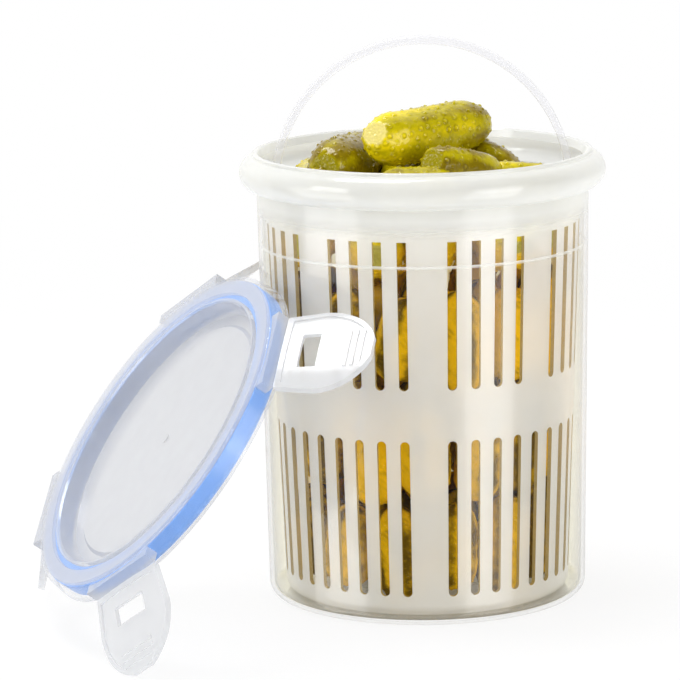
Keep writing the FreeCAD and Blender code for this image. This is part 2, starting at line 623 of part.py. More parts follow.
def make_gherkins():
    """The pile that stands out of the brine. Each gherkin takes the dents of those laid before it."""
    room = basket_room()
    spread = JAR_NECK_RADIUS / PILE_LAID_IN
    pile = []
    for number, (middle, (yaw, pitch), (length, radius), first_end, last_end) in enumerate(GHERKINS):
        gherkin = make_gherkin(length, radius, first_end, last_end, phase=number)
        turn = FreeCAD.Rotation(Z_AXIS, yaw).multiply(FreeCAD.Rotation(Y_AXIS, -pitch))
        place = FreeCAD.Vector(spread * middle[0], spread * middle[1], JAR_HEIGHT - middle[2])
        gherkin = moved(gherkin, FreeCAD.Placement(place, turn))
        gherkin = gherkin.common(room)
        for other in pile:
            if gherkin.BoundBox.intersect(other.BoundBox):
                gherkin = gherkin.cut(other)
        pile.append(biggest_solid(gherkin))
    return pile


# ---------- brine ----------
def make_brine(basket, gherkins):
    fill = inner_wall_outline(BRINE_Z, Outline(0, JAR_FLOOR))
    brine = fill.line(0, BRINE_Z).spin().cut(basket)
    dipped = [g for g in gherkins if g.BoundBox.ZMin < BRINE_Z]
    return biggest_solid(brine.cut(dipped))


def make_all():
    nodes = {"jar": make_jar(), "lifter_basket": make_basket(), "lifter_handle": make_handle()}
    lid_pieces = {"lid": make_lid(), "lid_seal": make_seal()}
    clip = make_clip()
    for k in range(CLIP_COUNT):
        lid_pieces["lid_clip_%d" % (k + 1)] = folded_clip(clip, k)
    nodes.update(lean(lid_pieces, nodes["jar"]))
    gherkins = make_gherkins()
    for number, gherkin in enumerate(gherkins, start=1):
        nodes["gherkin_%02d" % number] = gherkin
    nodes["brine"] = make_brine(nodes["lifter_basket"], gherkins)
    return nodes


def write_all():
    os.makedirs("parts", exist_ok=True)
    for name, shape in make_all().items():
        shape.exportStep("parts/%s.step" % name)
        print("%-14s volume %10.1f mm3  solids %d" % (name, shape.Volume, len(shape.Solids)))


write_all()
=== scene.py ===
import json
import math
import random

import bmesh
import bpy
import numpy as np
from bpy.props import FloatProperty, FloatVectorProperty, IntProperty, PointerProperty
from mathutils import Matrix, Vector, kdtree, noise


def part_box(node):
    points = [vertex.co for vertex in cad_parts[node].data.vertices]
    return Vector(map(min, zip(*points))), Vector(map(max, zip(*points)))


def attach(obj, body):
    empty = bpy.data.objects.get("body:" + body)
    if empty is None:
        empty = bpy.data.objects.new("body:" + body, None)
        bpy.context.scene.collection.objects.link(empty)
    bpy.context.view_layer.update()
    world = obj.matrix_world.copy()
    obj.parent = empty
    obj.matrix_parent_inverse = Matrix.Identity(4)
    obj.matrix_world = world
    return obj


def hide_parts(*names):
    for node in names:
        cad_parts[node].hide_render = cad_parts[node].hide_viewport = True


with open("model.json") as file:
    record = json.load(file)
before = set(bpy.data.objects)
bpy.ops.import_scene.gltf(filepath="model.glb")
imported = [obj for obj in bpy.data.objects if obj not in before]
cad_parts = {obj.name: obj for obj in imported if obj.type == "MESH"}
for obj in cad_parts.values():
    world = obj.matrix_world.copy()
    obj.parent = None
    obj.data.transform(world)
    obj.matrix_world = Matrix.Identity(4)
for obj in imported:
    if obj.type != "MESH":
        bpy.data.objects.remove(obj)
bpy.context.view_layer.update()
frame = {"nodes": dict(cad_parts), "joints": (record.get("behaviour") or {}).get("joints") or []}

bl_info = {
    "name": "Pickle jar with lifter",
    "version": (1, 0, 0),
    "blender": (4, 5, 0),
    "location": "View3D > Sidebar > Pickle jar",
    "description": "Finishes a pickle jar, its basket and its lid, and fills it with gherkins in brine",
    "category": "Object",
}

# ---------- what the frame gives ----------
CONTENTS = "jar_and_contents"
PILE = sorted(name for name in frame["nodes"] if name.startswith("gherkin_"))
CLIPS = sorted(name for name in frame["nodes"] if name.startswith("lid_clip_"))
JAR_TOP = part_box("jar")[1].z
BRINE_LOW, BRINE_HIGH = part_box("brine")

# the lid's own frame, from the hinges of its clips: their middle lies under its outer face
HINGES = [Vector(joint["pos_m"]) for joint in frame["joints"] if joint["name"].startswith("clip_")]
HINGE_UNDER_FACE = 0.005
HINGE_MIDDLE = sum(HINGES, Vector()) / len(HINGES)
LID_AXIS = (HINGES[0] - HINGE_MIDDLE).cross(HINGES[1] - HINGE_MIDDLE).normalized()
if LID_AXIS.z < 0:
    LID_AXIS = -LID_AXIS
LID_CENTRE = HINGE_MIDDLE + LID_AXIS * HINGE_UNDER_FACE

# ---------- fixed sizes ----------
NECK_FROM = 0.0235              # how far under the mouth the jar begins to turn milky
NECK_FULL = 0.0165              # and where it is all milky
SLOTS_FROM = 0.0095             # height of the lowest and the highest end of the basket's slots
SLOTS_TO = 0.135
SLOTS_FADE = 0.001
BASKET_INSIDE_FOOT = 0.0489     # inside radius of the basket at its foot and at its rim
BASKET_INSIDE_RIM = 0.0541
BASKET_RIM = 0.1435             # height of that rim
BASKET_FLARE = math.atan((BASKET_INSIDE_RIM - BASKET_INSIDE_FOOT) / BASKET_RIM)
LID_RING_RADIUS = 0.0525        # the lid's milky middle ends here
SEAL_INSIDE = 0.0533            # inside radius of the seal
LID_LINE = 0.0022               # width of the clear line beside the lid's well
LID_WALL_RADIUS = 0.0634        # outside radius and thickness of the lid's side wall
LID_WALL = 0.0026
LID_STEP = 0.0005               # how softly the lid's haze changes from zone to zone

# ---------- what light does in plastic and water ----------
PLASTIC_IOR = 1.45
WATER_IOR = 1.33
MIRROR_LIMIT = 0.35             # the most that plastic mirrors, seen along its face
LAMP_HAZE = 0.24                # share of the haze that lamp light and light from inside meet
LAYERS_SEEN = 48                # how many see-through faces a line of sight may pass
WHITE = (1.0, 1.0, 1.0, 1.0)


# ---------- sizes and colours that a user can change ----------
def colour(name, description, default):
    return FloatVectorProperty(name=name, description=description, default=default, subtype="COLOR",
                               size=3, min=0.0, max=1.0)


def share(name, description, default):
    return FloatProperty(name=name, description=description, default=default, subtype="FACTOR",
                         min=0.0, max=1.0)


def length(name, description, default):
    return FloatProperty(name=name, description=description, default=default, subtype="DISTANCE",
                         unit="LENGTH", precision=5)


def power(name, description, default):
    return FloatProperty(name=name, description=description, default=default, subtype="POWER",
                         unit="POWER", min=0.0)


def strength(name, description, default):
    return FloatProperty(name=name, description=description, default=default, min=0.0)


class PickleJarPlastics(bpy.types.PropertyGroup):
    """Colours and milkiness of the moulded pieces"""
    jar_colour: colour("Jar", "Colour of the clear jar's haze", (0.76, 0.77, 0.76))
    jar_neck_colour: colour("Jar neck", "Colour of the milky neck and bead", (0.83, 0.84, 0.83))
    jar_haze: share("Jar haze", "How milky one face of the jar's wall is, seen square on", 0.003)
    jar_neck_haze: share("Jar neck haze", "How milky one face of the jar's neck and bead is", 0.80)
    jar_edge: share("Jar edge haze", "How milky one face of the jar's wall is, seen along it", 0.90)
    basket_colour: colour("Basket", "Colour of the milky basket", (0.95, 0.95, 0.93))
    basket_haze: share("Basket haze", "How milky one face of the basket's wall is", 0.90)
    # painted shade and amber bounce light: the colour painted on the narrow sides of the basket's slots
    slot_colour: colour("Slot sides", "Colour of the narrow sides of the slots", (0.46, 0.33, 0.08))
    bail_colour: colour("Bail", "Colour of the bail handle", (0.80, 0.80, 0.87))
    bail_haze: share("Bail haze", "How milky one face of the bail is", 0.20)
    lid_colour: colour("Lid", "Colour of the milky lid", (0.55, 0.56, 0.59))
    lid_haze: share("Lid haze", "How milky one face of the lid's middle is", 0.62)
    lid_ring_haze: share("Lid ring haze", "How milky one face of the lid is over its seal", 0.70)
    lid_clear: share("Lid wall haze", "How milky the lid is beside its well and in its side", 0.06)
    clip_colour: colour("Clips", "Colour of the milky clips", (0.70, 0.71, 0.73))
    clip_haze: share("Clip haze", "How milky one face of a clip is", 0.58)
    seal_colour: colour("Seal", "Colour of the soft seal ring", (0.17, 0.38, 0.86))
    roughness: share("Roughness", "Roughness of the moulded plastic's gloss", 0.12)


class PickleJarContents(bpy.types.PropertyGroup):
    """Colours and sizes of the gherkins and the brine"""
    top_colour: colour("Gherkin top", "Colour of the dark green stripes", (0.21, 0.15, 0.002))
    side_colour: colour("Gherkin side", "Colour of the olive skin", (0.45, 0.375, 0.002))
    pale_colour: colour("Gherkin pale side", "Colour of the yellow belly", (0.80, 0.64, 0.005))
    cut_colour: colour("Gherkin end", "Colour of the round scar at an end", (0.70, 0.60, 0.19))
    sunk_colour: colour("Sunk gherkin", "Colour of skin that lies in brine", (0.72, 0.42, 0.004))
    cell: length("Mesh cell", "Cell of the remeshed skin", 0.00040)
    wart_height: length("Wart height", "How far a wart stands out", 0.00070)
    wart_radius: length("Wart radius", "Half width of a wart", 0.00062)
    wart_spacing: length("Wart spacing", "Least distance between two warts", 0.0029)
    brine_colour: colour("Brine", "Colour of the brine", (0.97, 0.84, 0.0))
    brine_strength: strength("Brine strength", "How fast brine colours with depth, per metre", 5.0)
    brine_bite: length("Brine into wall", "How far the brine reaches into the jar's wall", 0.0005)
    meniscus: length("Meniscus", "How far the brine climbs at the wall", 0.0009)
    sunk_radius: length("Sunk gherkin radius", "Half width of a sunk gherkin", 0.0096)
    seed: IntProperty(name="Seed", description="Another seed gives other warts and another stacking",
                      default=7, min=0)


class PickleJarStage(bpy.types.PropertyGroup):
    """Light and floor"""
    lamp_left: power("Left lamp", "Power of the lamp on the left", 5.4)
    lamp_right: power("Right lamp", "Power of the lamp on the right", 4.6)
    lamp_top: power("Top lamp", "Power of the lamp overhead", 7.2)
    panel_light: strength("Panels", "Brightness of the two tall panels that the plastic mirrors", 3.0)
    world_light: strength("Room light", "Strength of the even light of the room", 0.72)
    floor_size: length("Floor", "Side of the floor", 30.0)


# ---------- materials ----------
class Nodes:
    """The node tree of a material or a world, built node by node."""

    def __init__(self, owner):
        self.owner = owner
        owner.use_nodes = True
        self.tree = owner.node_tree
        self.tree.nodes.clear()
        self.place = self.add("TexCoord").outputs["Object"]

    def add(self, kind, inputs=None, **settings):
        """A node with its settings made and its inputs linked or filled in."""
        made = self.tree.nodes.new("ShaderNode" + kind)
        for key, value in settings.items():
            setattr(made, key, value)
        for socket, value in (inputs or {}).items():
            if isinstance(value, bpy.types.NodeSocket):
                self.tree.links.new(value, made.inputs[socket])
            else:
                made.inputs[socket].default_value = value
        return made

    def maths(self, operation, first, second=0.0, clamp=False):
        return self.add("Math", {0: first, 1: second}, operation=operation, use_clamp=clamp).outputs[0]

    def plus(self, first, second):
        return self.maths("ADD", first, second)

    def minus(self, first, second):
        return self.maths("SUBTRACT", first, second)

    def times(self, first, second):
        return self.maths("MULTIPLY", first, second)

    def noise(self, scale, detail=2.0, rough=0.5):
        inputs = {"Vector": self.place, "Scale": scale, "Detail": detail, "Roughness": rough}
        return self.add("TexNoise", inputs).outputs["Fac"]

    def band(self, value, low, high, to_low=0.0, to_high=1.0):
        """A value taken smoothly from one range to another."""
        inputs = {"Value": value, "From Min": low, "From Max": high, "To Min": to_low, "To Max": to_high}
        return self.add("MapRange", inputs, interpolation_type="SMOOTHSTEP").outputs["Result"]

    def window(self, value, rise, full, fall, gone):
        """1 where a value lies between full and fall, and 0 before rise and past gone."""
        return self.times(self.band(value, rise, full), self.band(value, fall, gone, 1.0, 0.0))

    def axis(self, letter, vector=None):
        """One part of a vector, or of the place on the object."""
        return self.add("SeparateXYZ", {0: self.place if vector is None else vector}).outputs[letter]

    def level(self, vector=None):
        """A vector, or the place on the object, with its height left out."""
        parts = {"X": self.axis("X", vector), "Y": self.axis("Y", vector)}
        return self.add("CombineXYZ", parts).outputs[0]

    def blend(self, amount, first, second):
        """Between two colours, each a socket or three numbers."""
        mixer = self.tree.nodes.new("ShaderNodeMix")
        mixer.data_type = "RGBA"
        for index, value in ((0, amount), (6, first), (7, second)):
            if isinstance(value, bpy.types.NodeSocket):
                self.tree.links.new(value, mixer.inputs[index])
            elif index == 0:
                mixer.inputs[index].default_value = value
            else:
                mixer.inputs[index].default_value = (*value, 1.0)
        return mixer.outputs[2]

    def bump(self, height, distance, strength=1.0, normal=None):
        inputs = {"Height": height, "Distance": distance, "Strength": strength}
        if normal is not None:
            inputs["Normal"] = normal
        return self.add("Bump", inputs).outputs["Normal"]

    def shade(self, amount, first, second):
        return self.add("MixShader", {0: amount, 1: first, 2: second}).outputs[0]

    def finish(self, shader, volume=None):
        output = self.add("OutputMaterial", {"Surface": shader})
        if volume is not None:
            self.tree.links.new(volume, output.inputs["Volume"])
        return self.owner


def new_material(name):
    return Nodes(bpy.data.materials.new(name))


def toned(shade, by):
    """A colour made darker or lighter, with no part over 1."""
    return tuple(min(1.0, v * by) for v in shade)


def see_through_plastic(name, shade, haze, edge_haze, roughness, glow=0.25, edge_power=2.2):
    """Moulded see-through plastic: haze over a clear body, thicker where it is seen along its face.

    Its colour and its haze are each a plain value or a function that adds nodes. Over both lies a gloss. Lamp
    light and light from inside go through more easily than sight does, as in all milky plastic."""
    nodes = new_material(name)
    cloud = nodes.noise(38.0, 3.0)
    normal = nodes.bump(nodes.noise(14.0, 2.0), 0.0012, 0.25)
    facing = nodes.add("LayerWeight", {"Blend": 0.35}).outputs["Facing"]
    face_on = haze(nodes) if callable(haze) else haze
    rise = nodes.times(nodes.maths("POWER", facing, edge_power), edge_haze)
    amount = nodes.plus(face_on, nodes.times(rise, nodes.minus(1.0, face_on)))
    amount = nodes.maths("MULTIPLY", amount, nodes.band(cloud, 0.3, 0.7, 0.95, 1.05), clamp=True)
    path = nodes.add("LightPath")
    passing = nodes.maths("MAXIMUM", path.outputs["Is Shadow Ray"], path.outputs["Is Diffuse Ray"])
    amount = nodes.times(amount, nodes.band(passing, 0.0, 1.0, 1.0, LAMP_HAZE))
    base = shade(nodes) if callable(shade) else shade
    base = nodes.blend(nodes.band(cloud, 0.35, 0.65, 0.0, 0.04), base, (0.7, 0.7, 0.7))
    front = nodes.add("BsdfDiffuse", {"Color": base, "Normal": normal}).outputs[0]
    back = nodes.add("BsdfTranslucent", {"Color": base, "Normal": normal}).outputs[0]
    clear = nodes.add("BsdfTransparent").outputs[0]
    gloss = nodes.add("BsdfGlossy", {"Color": WHITE, "Roughness": roughness, "Normal": normal})
    outer = nodes.minus(1.0, nodes.add("NewGeometry").outputs["Backfacing"])
    fresnel = nodes.add("Fresnel", {"IOR": PLASTIC_IOR, "Normal": normal}).outputs[0]
    mirror = nodes.maths("MINIMUM", fresnel, MIRROR_LIMIT)
    body = nodes.shade(amount, clear, nodes.shade(glow, front, back))
    return nodes.finish(nodes.shade(nodes.times(mirror, outer), body, gloss.outputs[0]))


def jar_plastic(looks):
    """The jar's clear wall turns milky at its neck and bead."""
    def up_the_neck(nodes, low=0.0, high=1.0):
        return nodes.band(nodes.axis("Z"), JAR_TOP - NECK_FROM, JAR_TOP - NECK_FULL, low, high)

    def haze(nodes):
        return up_the_neck(nodes, looks.jar_haze, looks.jar_neck_haze)

    def shade(nodes):
        return nodes.blend(up_the_neck(nodes), tuple(looks.jar_colour), tuple(looks.jar_neck_colour))

    return see_through_plastic("clear jar plastic", shade, haze, looks.jar_edge, looks.roughness,
                               glow=0.4, edge_power=3.2)


def basket_plastic(looks):
    """The basket's milky wall: its slots' narrow sides are painted dark amber, painted shade and amber bounce
    light.
    """
    def shade(nodes):
        normal = nodes.add("NewGeometry").outputs["True Normal"]
        outwards = nodes.add("VectorMath", {0: nodes.level()}, operation="NORMALIZE").outputs["Vector"]
        facing = nodes.add("VectorMath", {0: normal, 1: outwards}, operation="DOT_PRODUCT")
        square_on = nodes.maths("ABSOLUTE", facing.outputs["Value"])
        side = nodes.band(square_on, 0.5, 0.75, 1.0, 0.0)
        slotted = nodes.window(nodes.axis("Z"), SLOTS_FROM - SLOTS_FADE, SLOTS_FROM,
                               SLOTS_TO, SLOTS_TO + SLOTS_FADE)
        # the narrow sides of the slots get painted shade and amber bounce light
        return nodes.blend(nodes.times(side, slotted), tuple(looks.basket_colour),
                           tuple(looks.slot_colour))

    return see_through_plastic("milky basket plastic", shade, looks.basket_haze, 0.85,
                               looks.roughness + 0.1, glow=0.4)


def lid_radius(nodes):
    """Distance from the lid's axis: the place is turned into the lid's own frame, with its axis along Z."""
    turn = LID_AXIS.rotation_difference(Vector((0.0, 0.0, 1.0))).to_euler("XYZ")
    shift = -(turn.to_matrix() @ LID_CENTRE)
    inputs = {"Vector": nodes.place, "Location": shift, "Rotation": turn}
    own = nodes.add("Mapping", inputs, vector_type="POINT").outputs[0]
    return nodes.add("VectorMath", {0: nodes.level(own)}, operation="LENGTH").outputs["Value"]


def lid_plastic(looks):
    """The lid's haze goes in rings: middle, clear line, over the seal, clear side, clip roots."""
    zones = (
        (LID_RING_RADIUS, looks.lid_ring_haze),
        (SEAL_INSIDE, looks.lid_clear),
        (SEAL_INSIDE + LID_LINE, looks.lid_ring_haze),
        (LID_WALL_RADIUS - LID_WALL, looks.lid_clear),
        (LID_WALL_RADIUS, looks.clip_haze),
    )

    def by_radius(nodes):
        radius = lid_radius(nodes)
        haze = looks.lid_haze
        for edge, beyond in zones:
            step = nodes.band(radius, edge, edge + LID_STEP)
            haze = nodes.plus(haze, nodes.times(step, nodes.minus(beyond, haze)))
        return haze

    return see_through_plastic("lid plastic", tuple(looks.lid_colour), by_radius, 0.25, looks.roughness)


def soft_seal(looks):
    """Soft rubber with a fine bloom."""
    nodes = new_material("soft blue seal")
    blue = tuple(looks.seal_colour)
    shade = nodes.blend(nodes.band(nodes.noise(300.0, 3.0), 0.35, 0.65), toned(blue, 0.94), blue)
    inputs = {"Base Color": shade, "Roughness": 0.38, "IOR": PLASTIC_IOR,
              "Normal": nodes.bump(nodes.noise(1800.0), 0.00003, 0.6)}
    return nodes.finish(nodes.add("BsdfPrincipled", inputs).outputs[0])


# what raise_warts writes on a gherkin's mesh and its skin reads
SKIN_MARKS = ("wart", "ring", "scar", "tone", "stripe", "cut_pale")
WET_SKIN = {"Roughness": 0.13, "IOR": 1.34, "Subsurface Weight": 0.15, "Subsurface Radius": (0.9, 0.8, 0.1),
            "Subsurface Scale": 0.0025}
SUNK_SKIN = {"Roughness": 0.5, "IOR": 1.02}     # in brine a skin has no gloss of its own
SCAR_HOOPS = ((0.16, 0.34, 0.40), (0.55, 0.75, 0.25))   # pale rings of a scar: from, to, how pale
SCAR_HOOP_FADE = 0.06
LAIN_UP_TO = (0.002, 0.009)     # over the brine, skin is amber up to here, and fades up to there


def gherkin_skin(name, top, side, pale, cut, amber=None):
    """Pickled cucumber skin: dark stripes on top, an olive side and a yellow belly, warts, round end scars.

    Skin that is given an amber stands out of the brine. It is wet, and amber at the brine."""
    nodes = new_material(name)
    wart, ring, scar, tone, stripe, cut_pale = (
        nodes.add("Attribute", attribute_name=key).outputs["Fac"] for key in SKIN_MARKS)
    patch = nodes.noise(95.0, 4.0, 0.6)
    speck = nodes.noise(900.0, 3.0, 0.65)
    streak = nodes.noise(330.0, 3.0, 0.6)
    # how pale: less on the tone's dark side, more in patches and along the stripes
    paleness = tone
    for pattern, weight in ((patch, 1.5), (stripe, 0.50), (streak, 0.45)):
        paleness = nodes.plus(paleness, nodes.times(nodes.minus(pattern, 0.5), weight))
    skin = nodes.blend(nodes.band(paleness, -0.10, 0.45), top, side)
    skin = nodes.blend(nodes.band(paleness, 0.45, 1.0), skin, pale)
    skin = nodes.blend(nodes.band(speck, 0.58, 0.72, 0.0, 0.22), skin, tuple(v * 1.25 for v in pale))
    # a wart's moat is painted dark, painted shade in that hollow, and a dark spine mark sits in its middle
    skin = nodes.blend(nodes.times(ring, 0.45), skin, toned(top, 0.45))
    skin = nodes.blend(nodes.band(wart, 0.35, 0.8, 0.0, 0.18), skin, pale)
    skin = nodes.blend(nodes.band(wart, 0.88, 0.97, 0.0, 0.30), skin, toned(top, 0.6))
    if amber is not None:
        amber_to, fades_to = (BRINE_HIGH.z + over for over in LAIN_UP_TO)
        skin = nodes.blend(nodes.band(nodes.axis("Z"), amber_to, fades_to, 0.85, 0.0), skin, amber)
    # the round scar at an end: cells, a paler rim and a paler ring inside it
    cells = nodes.add("TexVoronoi", {"Vector": nodes.place, "Scale": 900.0}).outputs["Distance"]
    frayed = nodes.plus(scar, nodes.times(nodes.minus(streak, 0.5), 0.7))
    ends = nodes.blend(cut_pale, toned(side, 0.62), cut)
    ends = nodes.blend(nodes.band(cells, 0.15, 0.6, 0.0, 0.12), ends, toned(side, 0.8))
    for low, high, weight in SCAR_HOOPS:
        hoop = nodes.window(frayed, low - SCAR_HOOP_FADE, low, high, high + SCAR_HOOP_FADE)
        ends = nodes.blend(nodes.times(hoop, nodes.times(cut_pale, weight)), ends, toned(cut, 1.12))
    skin = nodes.blend(nodes.band(frayed, 0.08, 0.26), skin, ends)
    fine = nodes.bump(nodes.noise(1500.0, 3.0, 0.6), 0.00008, 0.4)
    pitted = nodes.bump(nodes.times(cells, nodes.band(scar, 0.1, 0.3)), 0.0004, 0.6, fine)
    inputs = {"Base Color": skin, "Normal": nodes.bump(streak, 0.00050, 0.45, pitted)}
    inputs.update(SUNK_SKIN if amber is None else WET_SKIN)
    return nodes.finish(nodes.add("BsdfPrincipled", inputs).outputs[0])


MENISCUS_LINE = (0.0014, 0.0006)    # under the brine's top, the line begins here and is full there


def brine_look(contents):
    """Clear, faintly yellow liquid with a glossy top and a painted highlight along its meniscus."""
    nodes = new_material("brine")
    clear = nodes.add("BsdfTransparent").outputs[0]
    ripple = nodes.bump(nodes.noise(60.0), 0.0004, 0.3)
    gloss = nodes.add("BsdfGlossy", {"Color": WHITE, "Roughness": 0.05, "Normal": ripple}).outputs[0]
    top = nodes.band(nodes.axis("Z", nodes.add("NewGeometry").outputs["Normal"]), 0.3, 0.8)
    mirror = nodes.times(nodes.add("Fresnel", {"IOR": WATER_IOR}).outputs[0], top)
    # the meniscus is painted as a fine pale line: a painted highlight where it catches the light
    line_from, line_full = (BRINE_HIGH.z - under for under in MENISCUS_LINE)
    line = nodes.band(nodes.axis("Z"), line_from, line_full, 0.0, 0.45)
    pale = nodes.add("BsdfDiffuse", {"Color": (0.9, 0.9, 0.86, 1.0)}).outputs[0]
    clear = nodes.shade(nodes.times(line, nodes.minus(1.0, top)), clear, pale)
    inputs = {"Color": (*contents.brine_colour, 1.0), "Density": contents.brine_strength}
    tint = nodes.add("VolumeAbsorption", inputs).outputs[0]
    return nodes.finish(nodes.shade(mirror, clear, gloss), tint)


def dress(node, material):
    """Gives a CAD node one material all over."""
    for slot in frame["nodes"][node].material_slots:
        slot.material = material


# ---------- meshes ----------
MERGE = 1e-6                    # corners closer than this are one
END_AREA = 1.2e-5               # a flat patch larger than this is a gherkin's end
SCAR_DEPTH = 0.0009             # how far from the plane of an end its scar reaches
SCAR_FACING = 0.6               # least cosine between the skin and the end
SCAR_REACH = 1.15               # how far out a scar goes, over the end's radius
WART_PATCHES = 110.0            # how closely small warts change to large ones, per metre
WART_SIZES = (0.35, 1.25)
MOAT_AT = 1.55                  # where a wart's moat lies and how wide it is, over the wart's radius
MOAT_WIDTH = 0.55
MOAT_DEPTH = 0.22               # over the wart's height
STRIPES = 5.0                   # dark stripes round a gherkin
AXIS_POINTS = 2000              # about how many corners a gherkin's long axis is taken from


def nothing_selected():
    if bpy.context.object and bpy.context.object.mode != "OBJECT":
        bpy.ops.object.mode_set(mode="OBJECT")
    bpy.ops.object.select_all(action="DESELECT")


def pick(piece):
    """Makes a piece the one selected and active object."""
    nothing_selected()
    piece.select_set(True)
    bpy.context.view_layer.objects.active = piece


def merged_copy(node, name):
    """A copy of a CAD node's mesh with its loose triangles joined up."""
    mesh = frame["nodes"][node].data.copy()
    mesh.materials.clear()
    piece = bpy.data.objects.new(name, mesh)
    bpy.context.scene.collection.objects.link(piece)
    shell = bmesh.new()
    shell.from_mesh(mesh)
    bmesh.ops.remove_doubles(shell, verts=shell.verts, dist=MERGE)
    shell.to_mesh(mesh)
    shell.free()
    return piece


def flat_ends(mesh):
    """The flat round ends of a gherkin: (middle, normal, radius) of each large flat patch of its mesh."""
    patches = {}
    for face in mesh.polygons:
        level = face.normal.dot(face.center)
        key = tuple(round(v, 2) for v in face.normal) + (round(level, 4),)
        patches.setdefault(key, []).append(face)
    ends = []
    for faces in patches.values():
        area = sum(face.area for face in faces)
        if area > END_AREA:
            middle = sum((face.center * face.area for face in faces), Vector()) / area
            ends.append((middle, faces[0].normal.copy(), math.sqrt(area / math.pi)))
    return ends


def remesh(piece, cell):
    """Gives a piece an even skin of small squares."""
    pick(piece)
    skin = piece.modifiers.new("even skin", "REMESH")
    skin.mode = "VOXEL"
    skin.voxel_size = cell
    bpy.ops.object.modifier_apply(modifier=skin.name)


def soften(piece, times):
    """Takes the sharp edges and the voxel steps off."""
    pick(piece)
    rounding = piece.modifiers.new("rounding", "SMOOTH")
    rounding.factor = 0.5
    rounding.iterations = times
    bpy.ops.object.modifier_apply(modifier=rounding.name)


def make_lumpy(piece, size, height):
    """Raises the skin in soft lumps."""
    texture = bpy.data.textures.new(piece.name + " clouds", "CLOUDS")
    texture.noise_scale = size
    texture.noise_depth = 2
    pick(piece)
    lumps = piece.modifiers.new("lumps", "DISPLACE")
    lumps.texture = texture
    lumps.texture_coords = "LOCAL"
    lumps.strength = height
    lumps.mid_level = 0.5
    bpy.ops.object.modifier_apply(modifier=lumps.name)


def spread(points, gap, dice):
    """A random choice of points that keep a gap from each other."""
    order = list(range(len(points)))
    dice.shuffle(order)
    cells = {}
    chosen = []
    for index in order:
        point = points[index]
        home = tuple(int(math.floor(v / gap)) for v in point)
        near = (cells.get((home[0] + i, home[1] + j, home[2] + k), ())
                for i in (-1, 0, 1) for j in (-1, 0, 1) for k in (-1, 0, 1))
        if all((point - other).length > gap for group in near for other in group):
            cells.setdefault(home, []).append(point)
            chosen.append(point)
    return chosen


def end_scars(points, normals, ends):
    """How far inside the round scar of an end each point lies, and 0 beside it."""
    scar = [0.0] * len(points)
    for index, point in enumerate(points):
        for middle, outwards, radius in ends:
            offset = point - middle
            off_plane = offset.dot(outwards)
            if abs(off_plane) < SCAR_DEPTH and normals[index].dot(outwards) > SCAR_FACING:
                reach = (offset - outwards * off_plane).length / radius
                scar[index] = max(scar[index], SCAR_REACH - reach)
    return scar


def lay_warts(mesh, points, normals, scar, contents, dice):
    """Raises warts beside the scars, with a moat round each. Gives how much of both is at each point."""
    middles = spread([point for point, mark in zip(points, scar) if mark <= 0.0],
                     contents.wart_spacing, dice)
    tree = kdtree.KDTree(len(middles))
    for index, middle in enumerate(middles):
        tree.insert(middle, index)
    tree.balance()
    sizes = [dice.uniform(*WART_SIZES) * (0.65 + 0.7 * noise.noise(middle * WART_PATCHES))
             for middle in middles]
    wart = []
    ring = []
    for index, point in enumerate(points):
        _, which, far = tree.find(point)
        size = sizes[which]
        radius = contents.wart_radius * (0.8 + 0.3 * size)
        bulge = math.exp(-(far / radius) ** 2)
        moat = math.exp(-((far - MOAT_AT * radius) / (MOAT_WIDTH * radius)) ** 2)
        calm = max(0.0, 1.0 - 3.0 * scar[index])
        lift = contents.wart_height * size * (bulge - MOAT_DEPTH * moat) * calm
        mesh.vertices[index].co = point + normals[index] * lift
        wart.append(bulge * min(1.0, size))
        # the moat's share, where the skin is painted with shade
        ring.append(moat * min(1.0, size))
    return wart, ring


def long_axis(points):
    """The middle of a gherkin, the line along it towards its left end, and half its length."""
    middle = sum(points, Vector()) / len(points)
    cloud = np.array([tuple(point - middle) for point in points])
    few = cloud[:: max(1, len(cloud) // AXIS_POINTS)]
    axis = Vector(np.linalg.svd(few, full_matrices=False)[2][0])
    if axis.x > 0.0:
        axis = -axis
    return middle, axis, max((point - middle).dot(axis) for point in points)


def stripes_and_tones(points, normals, tone, slope, dice):
    """Stripes along a gherkin, and its tone: paler by slope at its left end, and darker on top."""
    middle, axis, half = long_axis(points)
    side = axis.orthogonal().normalized()
    other = axis.cross(side)
    phase = dice.uniform(0.0, math.tau)
    stripe = []
    tones = []
    for point, normal in zip(points, normals):
        offset = point - middle
        angle = math.atan2(offset.dot(other), offset.dot(side))
        stripe.append(0.5 + 0.5 * math.cos(STRIPES * angle + phase))
        tones.append(tone + slope * offset.dot(axis) / half - 0.10 * normal.z)
    return stripe, tones


def raise_warts(piece, contents, ends, dice, tone, slope=0.0, cut_pale=0.0):
    """Lays warts over a gherkin's skin and writes the SKIN_MARKS that its material reads."""
    mesh = piece.data
    points = [vertex.co.copy() for vertex in mesh.vertices]
    normals = [vertex.normal.copy() for vertex in mesh.vertices]
    scar = end_scars(points, normals, ends)
    wart, ring = lay_warts(mesh, points, normals, scar, contents, dice)
    stripe, tones = stripes_and_tones(points, normals, tone, slope, dice)
    marks = (wart, ring, scar, tones, stripe, [cut_pale] * len(points))
    for name, values in zip(SKIN_MARKS, marks):
        mesh.attributes.new(name, "FLOAT", "POINT").data.foreach_set("value", values)
    mesh.update()


def shade_smooth(piece):
    for face in piece.data.polygons:
        face.use_smooth = True


# ---------- operators ----------
class PickleJarOperator(bpy.types.Operator):
    """What all the steps share"""
    bl_options = {"REGISTER"}


class PICKLEJAR_OT_jar(PickleJarOperator):
    """Gives the jar its clear plastic, milky at the neck"""
    bl_idname = "pickle_jar.jar"
    bl_label = "Jar"

    def execute(self, context):
        dress("jar", jar_plastic(context.scene.pickle_jar_plastics))
        return {"FINISHED"}


